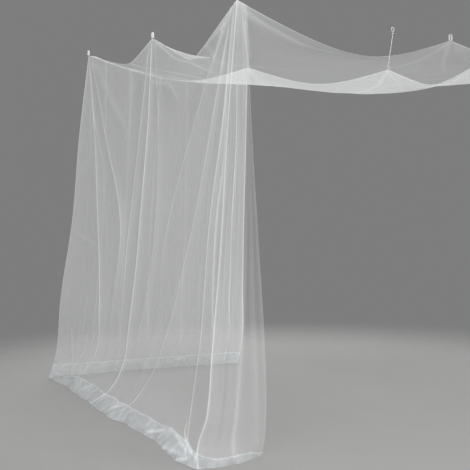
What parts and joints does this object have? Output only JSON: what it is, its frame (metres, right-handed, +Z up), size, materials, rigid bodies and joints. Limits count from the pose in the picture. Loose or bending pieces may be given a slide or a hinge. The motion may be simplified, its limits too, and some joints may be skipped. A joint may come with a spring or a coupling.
{
  "type": "mosquito net canopy",
  "caption": "Sheer square mosquito net canopy hung by tape loops, with a sagging roof panel, side wall, half back wall and a drawn-back front curtain lying on the floor.",
  "frame": {"origin": "top of the near left hanging loop; the floor is 2.4863 m below it", "axes": "+X along the near side from the near left corner to the near right one, +Y along the left side towards the far left corner, +Z up"},
  "size_m": [3.0181, 2.9432, 2.8152],
  "materials": {
    "net": "sheer white polyester net",
    "tape": "woven white tape",
    "cord": "twisted white cord"
  },
  "bodies": {
    "root": {"roof_panel": "net", "left_wall": "net", "far_wall": "net", "near_curtain": "net", "loop_near_left": "tape", "loop_left_middle": "tape", "loop_far_left": "tape", "loop_far_middle": "tape", "loop_far_right": "tape", "loop_right_middle": "tape", "loop_near_right": "tape", "loop_near_middle": "tape", "cord_far_middle": "cord", "knot_far_middle": "cord", "eye_far_middle": "cord", "cord_far_right": "cord", "knot_far_right": "cord", "eye_far_right": "cord"}
  },
  "joints": []
}
